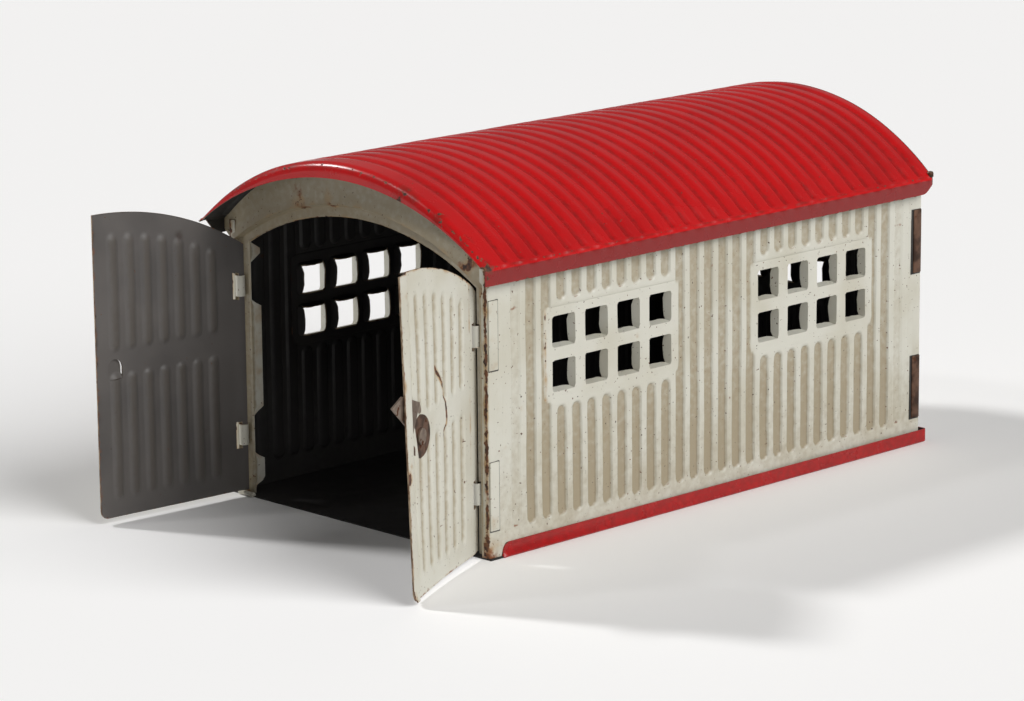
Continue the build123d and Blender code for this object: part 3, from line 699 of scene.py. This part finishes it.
for side, sideName in ((1, "right"), (-1, "left")):
    for end, paint, wearing in (("front", creamEnamel, 0.17), ("rear", darkTin, 0.0)):
        for number, height in enumerate(tabs["heights"]):
            if end == "front":
                ys = (-tabs["frontStart"], tabs["width"] - tabs["frontStart"])
            else:
                ys = (tabs["rearStart"] - tabs["width"], tabs["rearStart"])
            xs = sorted(side * (tin["halfWidth"] + d) for d in (-tabs["sunk"], tabs["proud"]))
            low, high = height - tabs["height"] / 2, height + tabs["height"] / 2
            block = softBlock((xs[0], ys[0], low), (xs[1], ys[1], high), tabs["round"])
            # Behind each tab a dark plate paints the shadow in its slot
            deep = sorted(side * (tin["halfWidth"] + d) for d in (-slotShadows["sunk"], slotShadows["proud"]))
            past = slotShadows["past"][end]
            slot_shadow = softBlock(
                (deep[0], ys[0] + past[0], low - slotShadows["below"]),
                (deep[1], ys[1] + past[1], high + slotShadows["above"]), slotShadows["round"],
            )
            slotShadowName = f"{sideName}_{end}_slot_{number + 1}"
            makePiece(slotShadowName, markAll(slot_shadow, 0, 0), (shadedBodyLining,), "garage")
            makePiece(
                f"{sideName}_{end}_tab_{number + 1}", markAll(block, wearing, wearing), (paint,), "garage",
            )
foot = softBlock(jambFoot["low"], jambFoot["high"], jambFoot["round"])
makePiece("left_jamb_foot", markAll(foot, 0.25, 0.2, 0.5), (creamEnamel,), "garage")
print("tabs made")


# Roof
roof = {
    "radius": 73.88, "axis": 23.72, "half": 51.9, "eave": 76.3, "fascia": 4.5, "front": 90.6, "rear": 87.4,
    "pitch": 5.66, "count": 30, "grooveWidth": 3.2, "grooveDepth": 0.55, "shoulder": 0.4, "margin": 0.5,
    "bendReach": 0.9, "lipCrown": 4.3, "lipEnd": 0.8, "lipRound": 2.6, "bead": 1.2, "beadTurn": 290,
    "skew": 3.0, "camber": 0.14, "scallop": 0.24, "wave": 0.12, "cornerCut": (88.9, 91.2), "rearClip": 6,
    "corrugated": 85,  # the grooves' last ridges, either way
}
beadEnd = {"xs": (50.2, 51.85), "low": (85.5, 76.0), "high": (87.35, 77.9), "round": 0.6}
roofArc = roof["radius"] * math.asin(roof["half"] / roof["radius"])
roofCentres = [(i - (roof["count"] - 1) / 2) * roof["pitch"] for i in range(roof["count"])]
grooveEnd = roofArc - roof["margin"]


def roofGroove(a, y):
    for centre in roofCentres:
        if abs(y - centre) <= roof["grooveWidth"] / 2:
            return grooveAt(y - centre, a, -grooveEnd, grooveEnd, roof["grooveWidth"], roof["shoulder"])
    return 0


def roofProfile(a):  # the place and outward direction of the roof's section at arc length a from its crown
    side = math.copysign(1, a)
    reach = abs(a)
    start = roofArc - roof["bendReach"]
    tilt = min(reach, start) / roof["radius"]
    point = Vector((roof["radius"] * math.sin(tilt), roof["axis"] + roof["radius"] * math.cos(tilt)))
    if reach > start:
        corner = Vector((roof["half"], roof["eave"]))
        below = Vector((roof["half"], roof["eave"] - roof["bendReach"]))
        t = min((reach - start) / (2 * roof["bendReach"]), 1)
        point = point * (1 - t) ** 2 + corner * 2 * t * (1 - t) + below * t * t
        point.y -= max(reach - start - 2 * roof["bendReach"], 0)
        tilt += (math.pi / 2 - tilt) * t
    return side * point.x, point.y, side * math.sin(tilt), math.cos(tilt)


def makeRoof():
    start = roofArc - roof["bendReach"]
    end = roofArc + roof["fascia"]
    ends = [grooveEnd - roof["grooveWidth"] / 2 + d for d in (0, 0.4, 0.8, 1.1, 1.4)]
    bends = [start + d * roof["bendReach"] for d in (0, 0.5, 1, 1.5, 2)]
    half = gathered([0, end] + bends, ends + spaced(0, start - 4, 1.9) + spaced(start, end, 1.1), 0.15)
    us = sorted({round(k * a, 4) for a in half for k in (-1, 1)})
    # Past the front, rows round over and turn down as the lip; past the rear, they roll into the bead
    lipRows = [-100 - w for w in (0.2, 0.4, 0.6, 0.8, 1.0, 1.3, 1.65, 2.0)]
    beadRows = [100 + w for w in (0.12, 0.25, 0.38, 0.5, 0.62, 0.75, 0.88, 1.0)]
    bodyStart = -roof["front"] + roof["lipRound"]
    bodyEnd = roof["rear"] - roof["bead"]
    body = gathered([bodyStart, bodyEnd], grooveLines(roofCentres, roof["grooveWidth"]) + roofMiddles, 0.15)
    vs = sorted(lipRows) + [y for y in body if bodyStart <= y <= bodyEnd] + beadRows

    def lipDrop(a):
        return roof["lipEnd"] + (roof["lipCrown"] - roof["lipEnd"]) * (1 - min(abs(a) / roofArc, 1) ** 2)

    def place(a, v):
        x, z, outX, outZ = roofProfile(a)
        sink = roof["grooveDepth"] * roofGroove(a, v)
        y = v
        if v < -99:
            w = -100 - v
            rounding = min(roof["lipRound"], 0.8 * lipDrop(a))
            turn = min(w, 1) * math.pi / 2
            y = -roof["front"] + rounding * (1 - math.sin(turn))
            y += (roof["lipRound"] - rounding) * (1 - min(w, 1))
            sink = rounding * (1 - math.cos(turn)) + max(w - 1, 0) * (lipDrop(a) - rounding)
            if abs(a) > start:
                y = -roof["front"] + roof["lipRound"] * (1 - min(w, 1)) * 0.6 + 0.3
                sink = 0.3 * w
        elif v > 99:
            turn = (v - 100) * math.radians(roof["beadTurn"])
            y = bodyEnd + roof["bead"] * math.sin(turn)
            sink = roof["bead"] * (1 - math.cos(turn))
        else:
            middle = abs((v / roof["pitch"]) % 1 - 0.5) * 2 if abs(v) < roof["corrugated"] else 0
            sink += roof["camber"] * (1 - middle) ** 2 * (1 - ease(abs(a), grooveEnd - 2, grooveEnd))
            # The grooves' ends draw the bend into scallops
            scallop = near(abs(a) - roofArc, 2.2) * (0.5 + 0.5 * math.cos(2 * math.pi * v / roof["pitch"]))
            sink += roof["scallop"] * scallop * (abs(v) < roof["corrugated"])
        sink += tin["settle"] + roof["wave"] * dent(a, y, 7.3)
        if abs(a) > roofArc and v > 70:  # the fascia's rear corner is clipped round
            low = ease(y, roof["rear"] - roof["rearClip"], roof["rear"])
            z += low * low * 2.5 * ease(abs(a), roofArc + 1, end)
        askew = roof["skew"] * x / roof["half"] * (roof["rear"] - y) / (roof["rear"] + roof["front"])
        if abs(a) > roofArc:  # the roof sits askew; its front corner is cut short to clear the open door
            z += 0.93 * max(roof["eave"] - z, 0) * ease(-y - askew, *roof["cornerCut"])
        return x - outX * sink, y + askew, z - outZ * sink

    def wear(a, v):
        lip = 0.42 * near(v + 100.6, 0.7) if v < -99 else 0.3 * near(v + roof["front"] - 2, 2)
        foot = max(0.42 * near(abs(a) - end, 0.6), 0.46 * near(abs(a) - roofArc + 0.3, 0.9))
        return max(lip, foot, 0.9 * (v > 99), spotsAt(a, max(v, -91), roofSpots))

    def grimeAndShade(a, v):  # the fascias are darkened all over as painted shade; the roof has grime only in its grooves
        return 1.6 if abs(a) > roofArc + 0.7 else roofGroove(a, v)

    marks = {
        "groove": grimeAndShade, "wear": wear,
        "rust": lambda a, v: max(0.5 * (v > 99), 0.7 * spotsAt(a, max(v, -91), roofSpots)),
    }
    sheet = pressedSheet(us, vs, place, marks)
    paints = (redEnamel, shadedBodyLining, cutEdge)
    makePiece("roof", sheet, paints, "garage", tin["gauge"], ("roof",))


roofMiddles = [c + k * roof["pitch"] for c in roofCentres for k in (-0.5, 0.38, 0.5, 0.62)]
# Chips on the front lip, its worn right corner, and a few scattered over the ridges
roofSpots = [
    (-20, -90, 3, 0.45), (4, -89, 4, 0.44), (24, -90, 5, 0.5), (38, -90, 6, 0.52), (47, -89, 5, 0.55),
    (57, -90, 5, 0.8), (30, -60, 2, 0.4), (44, -20, 2, 0.4), (52, 20, 2, 0.4), (20, 50, 2, 0.36),
]
makeRoof()
for side, sideName in ((1, "right"), (-1, "left")):  # the rolled bead's ends stand out past the fascias
    xs = sorted(side * x for x in beadEnd["xs"])
    knob = softBlock((xs[0], *beadEnd["low"]), (xs[1], *beadEnd["high"]), beadEnd["round"], 3)
    makePiece(f"{sideName}_bead_end", markAll(knob, 0, 0), (darkTin,), "garage")
print("roof made")


# Base tray: floor sheet and skirting
base = {
    "half": 50.7, "front": 85.0, "rear": 86.9, "skirt": 3.8, "skirtFront": 80.6, "round": 2.2, "bend": 0.6,
    "lean": 0.85, "rib": 20, "ribHeight": 0.25, "ribEnd": 80, "paintedShade": 1.1,
}


def makeBase():
    rise = base["bend"] * math.pi / 2 + base["skirt"] - base["bend"]
    flatHalf = base["half"] - base["bend"]
    flatRear = base["rear"] - base["bend"]
    turns = [k * base["bend"] for k in (0, 0.4, 0.8, 1.2, math.pi / 2)]
    skirtRows = turns + [base["skirt"] * 0.55 + 0.3, base["skirt"] * 0.8 + 0.3, rise]
    sides = {round(k * (flatHalf + d), 4) for d in skirtRows for k in (-1, 1)}
    us = sorted(sides | set(spaced(-48, 48, 4)))
    vs = sorted(
        set(spaced(-base["front"], -82, 1.5)) | set(spaced(-base["skirtFront"], -78, 0.3))
        | set(spaced(-77, flatRear, 3)) | {flatRear + d for d in skirtRows[1:]}
    )

    def climb(past):  # how far out and up the sheet is, that far past its fold
        turn = min(max(past, 0) / base["bend"], math.pi / 2)
        up = max(past - base["bend"] * math.pi / 2, 0)
        return base["bend"] * math.sin(turn), base["bend"] * (1 - math.cos(turn)) + up

    def place(s, v):
        outX, upX = climb(abs(s) - flatHalf)
        outY, upY = climb(v - flatRear)
        x = math.copysign(min(abs(s), flatHalf) + outX, s)
        y = min(v, flatRear) + outY
        if abs(s) > flatHalf:
            share = (y + base["skirtFront"]) / (base["rear"] + base["skirtFront"])
            x -= math.copysign((1 - share) * base["lean"] * min(upX / 2, 1), s)
            nose = (y + base["skirtFront"]) / base["round"]
            if nose < 1:
                upX *= math.sqrt(max(1 - (1 - nose) ** 2, 0.05))
        rib = base["ribHeight"] * near(abs(x) - base["rib"], 0.8) * (abs(v) < base["ribEnd"])
        return x, y, max(upX, upY) + (rib if abs(s) < flatHalf and v < flatRear else 0)

    def gone(s, v):
        return abs(s) > flatHalf and (v < -base["skirtFront"] or v > flatRear)

    # The groove mark darkens the whole tray: painted shade on the skirting and the floor
    marks = {
        "wear": lambda s, v: 0.3 * (abs(s) > flatHalf + rise - 0.6) + 0.2 * near(v + 80, 3),
        "groove": lambda s, v: base["paintedShade"],
    }
    sheet = pressedSheet(us, vs, place, marks, gone, True)
    flatU, flatV = (sheet.verts.layers.float[key] for key in flatKeys)
    for face in sheet.faces:  # the floor is dark, its skirting red
        if all(abs(v[flatU]) < flatHalf + 0.01 and v[flatV] < flatRear + 0.01 for v in face.verts):
            face.material_index = 3
    # Outside, inside and edges of the skirting, then of the floor
    paints = (redEnamel, shadedBodyLining, redEnamel, shadedBodyLining, shadedBodyLining, shadedBodyLining)
    makePiece("base_tray", sheet, paints, "garage", tin["gauge"], ("base_tray",))


makeBase()
print("base tray made")


# Doors
door = {
    "hinge": 45.3, "hingeLine": 84.9, "leftOpen": 94.0, "rightOpen": 112.0,
    "width": 47.3, "foot": 1.6, "crown": 83.3, "radius": 83.08, "pin": 0.8, "corner": 2.4,
    "first": 41.4, "pitch": 5.3, "count": 7, "grooveFoot": 6.0, "bandFoot": 40.4, "bandTop": 46.0,
    "topMargin": 5.5, "shoulder": 0.4, "slotHeights": (17.0, 58.0), "slotHalf": 3.7, "slotEnd": 2.7,
    "curl": 4.6, "curlDepth": 0.55, "lap": 42.5, "lapRise": 0.85, "lapWidth": 0.6,
    "catch": (39.2, 43.9), "catchSpan": (38.8, 44.2), "catchRise": 2.3, "catchLift": 0.95,
    "twist": (3.0, 0.2), "sag": 0.9, "wave": 0.35,
}
doorCentres = [door["first"] - i * door["pitch"] for i in range(door["count"])]


def doorTop(s):
    return archTop(door["hinge"] - s, door["crown"], door["radius"])


def doorHeight(s, v):
    return rowHeight(v, door["bandTop"], door["crown"], doorTop(s))


def doorGroove(s, v):
    z = doorHeight(s, v)
    for centre in doorCentres:
        if abs(s - centre) <= tin["grooveWidth"] / 2:
            low = (door["grooveFoot"], door["bandFoot"])
            high = (door["bandTop"], doorTop(centre) - door["topMargin"])
            width = tin["grooveWidth"]
            return max(grooveAt(s - centre, z, *span, width, door["shoulder"]) for span in (low, high))
    return 0


def doorPoint(side, s, z, out):  # a point of an open door: s from its hinge, out from its sheet's middle
    swing = math.radians(door["rightOpen"] if side > 0 else door["leftOpen"])
    x = side * (door["hinge"] - s * math.cos(swing)) + out * side * math.sin(swing)
    y = -door["hingeLine"] - s * math.sin(swing) - out * math.cos(swing)
    return x, y, z


def scratchAt(s, z):  # the long curved scratch on the right door
    best = 0
    for (s0, z0), (s1, z1) in zip(doorScratch, doorScratch[1:]):
        along = Vector((s1 - s0, z1 - z0))
        t = min(max(Vector((s - s0, z - z0)).dot(along) / along.length_squared, 0), 1)
        best = max(best, near(math.hypot(s - s0 - t * along.x, z - z0 - t * along.y), 1.05))
    return best


def makeDoor(name, side, body):
    slots = [(h - door["slotHalf"], h + door["slotHalf"]) for h in door["slotHeights"]]
    left = side < 0
    fixedU = [-door["pin"], door["pin"], door["slotEnd"], door["width"]]
    stretch = (door["crown"] - door["bandTop"]) / (doorTop(door["slotEnd"] / 2) - door["bandTop"])
    fixedV = [door["foot"], door["bandTop"], door["crown"], *slots[0]]
    fixedV += [door["bandTop"] + (z - door["bandTop"]) * stretch for z in slots[1]]
    if left:
        fixedU += spaced(*door["catch"], 0.3)
        fixedV += spaced(*door["catchSpan"], 0.45)
    us = gathered(
        fixedU,
        grooveLines(doorCentres, tin["grooveWidth"]) + spaced(0, door["width"], 0.9)
        + spaced(door["lap"], door["lap"] + door["lapWidth"], 0.3), 0.2,
    )
    vs = gathered(fixedV, spaced(door["foot"], door["crown"], 0.75), 0.25)

    def place(s, v):
        z = doorHeight(s, v)
        out = tin["gauge"] / 2 - tin["grooveDepth"] * doorGroove(s, v)
        middle = ease(s, 4, 12) * ease(door["width"] - s, 0.5, 6)
        out += door["wave"] * dent(s, z, side * 4.4, 28.0) * middle
        out -= door["curlDepth"] * (1 - min(max(s, 0) / door["curl"], 1)) ** 2
        if side > 0:
            # The lap steps over the left door's edge; the door is bent, its foot out and its end down
            out += door["lapRise"] * ease(s, door["lap"], door["lap"] + door["lapWidth"])
            low, high = door["twist"]
            share = max(s / door["width"], 0)
            out += share ** 2 * (low + (high - low) * z / door["crown"])
            z -= door["sag"] * share
        elif door["catch"][0] - 0.01 < s < door["catch"][1] + 0.01:
            # The catch is cut round at its top
            low, high = door["catchSpan"]
            half = (door["catch"][1] - door["catch"][0]) / 2
            drop = 1 - math.sqrt(max(1 - ((s - door["catch"][0]) / half - 1) ** 2, 0))
            share = (z - low) / (high - low) if z <= high else 1 - (z - high) / 2.5
            z -= door["catchRise"] * drop * min(max(share, 0), 1)
        # The free bottom corner is rounded
        corner = Vector((door["width"] - s, z - door["foot"]))
        bend = door["corner"]
        if corner.x < bend and corner.y < bend:
            reach = bend - math.hypot(bend - corner.x, bend - corner.y)
            if reach < 0:
                s, z = s + reach * 0.7, z - reach * 0.7
        return doorPoint(side, s, z, out)

    def gone(s, v):
        z = doorHeight(s, v)
        return door["pin"] < s < door["slotEnd"] and any(low < z < high for low, high in slots)

    def wear(s, v):
        z = doorHeight(s, v)
        rim = max(near(door["width"] - s, 1.2), near(doorTop(s) - z, 1.1))
        fold = 0.52 * near(s - door["curl"], 0.45)
        if left:
            return max(0.42 * rim, 0.3 * near(z - door["foot"], 1.2), spotsAt(s, z, leftDoorSpots))
        foot = 0.4 * near(z - door["foot"], 1.0)
        return max(0.48 * rim, foot, fold, 0.75 * scratchAt(s, z), spotsAt(s, z, rightDoorSpots))

    def rust(s, v):
        z = doorHeight(s, v)
        spots = leftDoorSpots if left else rightDoorSpots
        edges = max(0.45 * near(door["width"] - s, 1.5), 0.4 * near(z - door["foot"], 1.5))
        return max(0.6 * spotsAt(s, z, spots), edges)

    sheet = pressedSheet(us, vs, place, {"groove": doorGroove, "wear": wear, "rust": rust}, gone, side > 0)
    if left:
        liftCatch(sheet)
    makePiece(name, sheet, (creamEnamel, doorLining, cutEdge), body, tin["gauge"], (name,))


def liftCatch(sheet):  # the catch is cut free on three sides and bent a little outward
    flatU, flatV = (sheet.verts.layers.float[key] for key in flatKeys)
    (start, end), (low, high) = door["catch"], door["catchSpan"]

    def inside(face):
        u, v = (sum(vert[key] for vert in face.verts) / len(face.verts) for key in (flatU, flatV))
        return start < u < end and low < v < high

    plate = [face for face in sheet.faces if inside(face)]
    rim = [edge for edge in sheet.edges if sum(inside(face) for face in edge.link_faces) == 1]
    cut = [edge for edge in rim if any(vert[flatU] < end - 0.01 for vert in edge.verts)]
    bmesh.ops.split_edges(sheet, edges=cut)
    outward = Vector(doorPoint(-1, 0, 0, 1)) - Vector(doorPoint(-1, 0, 0, 0))
    for vert in {v for face in plate for v in face.verts}:
        share = (end - vert[flatU]) / (end - start) * ease(vert[flatV], low, low + 2)
        vert.co += outward * door["catchLift"] * share * mm


# The scratch's points and the worn spots, from the hinge and the ground
doorScratch = [(25.5, 56), (23.5, 52.5), (20.8, 49), (19.6, 41.7), (21.3, 35)]
leftDoorSpots = [
    (20, 74, 3, 0.36), (30, 60, 1.5, 0.5), (42, 30, 2, 0.4), (12, 20, 3, 0.36), (36, 12, 3, 0.36),
]
rightDoorSpots = [
    (47.2, 56, 3, 0.5), (47.2, 49, 3, 0.5), (47, 33, 4, 0.75), (45, 36, 2, 0.62), (47, 2.5, 3.4, 0.75),
    (44, 78, 3, 0.4), (30, 5, 2, 0.4), (28, 26, 1.6, 0.42), (36, 70, 1.5, 0.4), (8, 60, 1.5, 0.38),
    (20, 12, 1.6, 0.4), (33, 52, 1.2, 0.42),
]
makeDoor("left_door", -1, "left_leaf")
makeDoor("right_door", 1, "right_leaf")
print("doors made")


# Hinge tongues: strips of the front frame curled round the doors' edges
hinge = {"half": 2.85, "inner": 0.95, "outer": 1.3, "curlFrom": 60, "curlTo": 360}
curlAngles = [math.radians(a) for a in range(hinge["curlFrom"], hinge["curlTo"] + 1, 15)]
tongueMarks = {"wear": lambda v, a: 0.3 * near(abs(v) - hinge["half"], 0.6), "rust": lambda v, a: 0.1}
for side, sideName in ((1, "right"), (-1, "left")):
    for number, height in enumerate(door["slotHeights"]):

        def place(v, a):
            x = side * (door["hinge"] + hinge["outer"] * math.cos(a))
            y = -door["hingeLine"] + hinge["outer"] * math.sin(a)
            return x, y, height + v

        tongue = pressedSheet(spaced(-hinge["half"], hinge["half"], 0.7), curlAngles, place, tongueMarks)
        bmesh.ops.recalc_face_normals(tongue, faces=tongue.faces[:])
        centre = Vector((side * door["hinge"], -door["hingeLine"], 0)) * mm
        face = tongue.faces[0]
        outward = face.calc_center_median() - centre
        if face.normal.dot(Vector((outward.x, outward.y, 0))) < 0:
            bmesh.ops.reverse_faces(tongue, faces=tongue.faces[:])
        makePiece(
            f"{sideName}_hinge_tongue_{number + 1}", tongue, creamSheet, "garage",
            hinge["outer"] - hinge["inner"],
        )
print("hinges made")


# Latch: the solids' own shapes in brown tin
for node in ("latch_arm", "latch_disc", "latch_rivet", "latch_washer"):
    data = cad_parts[node].data
    data.materials.clear()
    data.materials.append(darkTin if node == "latch_disc" else latchTin)


# Floor, lights and camera
studio = {
    "floorHalf": 6000.0,
    "floorColour": "FAF9F8",
    "world": 0.04,
    "walls": 0.22,
    "key": 1.62,
    "fill": 2.72,
    "glint": 0.22,
}
floorShape = bmesh.new()
bmesh.ops.create_grid(floorShape, x_segments=1, y_segments=1, size=studio["floorHalf"] * mm)
floorData = bpy.data.meshes.new("floor")
floorShape.to_mesh(floorData)
floorShape.free()
floor = bpy.data.objects.new("floor", floorData)
scene.collection.objects.link(floor)
paper = bpy.data.materials.new("pale_matt_paper")  # matt uncoated card: soft shadows and no shine
paper.use_nodes = True
paperSockets = paper.node_tree.nodes["Principled BSDF"].inputs
paperSockets["Base Color"].default_value = linear(studio["floorColour"])
paperSockets["Roughness"].default_value = 0.9
paperSockets["Specular IOR Level"].default_value = 0.1
floorData.materials.append(paper)

world = bpy.data.worlds.new("studio")
world.use_nodes = True
room = world.node_tree
room.nodes["Background"].inputs["Color"].default_value = linear("FFFFFF")
# The room is dim but its pale walls still show where the enamel mirrors them
rays = addNode(room, "LightPath").outputs
seen = addNode(room, "Math", {0: rays["Is Camera Ray"], 1: rays["Is Glossy Ray"]}, operation="MAXIMUM")
strength = addNode(room, "Mix", {0: seen.outputs[0], 2: studio["world"], 3: studio["walls"]})
room.links.new(strength.outputs[0], room.nodes["Background"].inputs["Strength"])
scene.world = world


def addSun(name, travel, strength, spread):
    lamp = bpy.data.lights.new(name, "SUN")
    lamp.energy = strength
    lamp.angle = math.radians(spread)
    holder = bpy.data.objects.new(name, lamp)
    holder.rotation_mode = "QUATERNION"
    holder.rotation_quaternion = Vector(travel).to_track_quat("-Z", "Y")
    scene.collection.objects.link(holder)


# Each lamp's travel, and its spread in degrees: a crisp key, a broad fill and a glint for the roof's lip
addSun("key_light", (0.698, 0.332, -0.635), studio["key"], 7)
addSun("fill_light", (-0.79, -0.1, -0.6), studio["fill"], 46)
addSun("glint_light", (0.33, 0.57, -0.75), studio["glint"], 6)

view = {"yaw": 45.521, "pitch": 12.857, "roll": -0.5365, "lens": 139.77, "place": (748.64, -762.84, 277.10)}
yaw, pitch, roll = (math.radians(view[key]) for key in ("yaw", "pitch", "roll"))
forward = Vector((-math.sin(yaw) * math.cos(pitch), math.cos(yaw) * math.cos(pitch), -math.sin(pitch)))
level = Vector((math.cos(yaw), math.sin(yaw), 0))
upward = level.cross(forward)
across = math.cos(roll) * level + math.sin(roll) * upward
upward = math.cos(roll) * upward - math.sin(roll) * level
camera = bpy.data.objects.new("camera", bpy.data.cameras.new("camera"))
camera.data.lens = view["lens"]
camera.data.clip_start = 0.01
turned = Matrix((across, upward, -forward)).transposed().to_4x4()
camera.matrix_world = Matrix.Translation(Vector(view["place"]) * mm) @ turned
scene.collection.objects.link(camera)
scene.camera = camera
print("studio made")
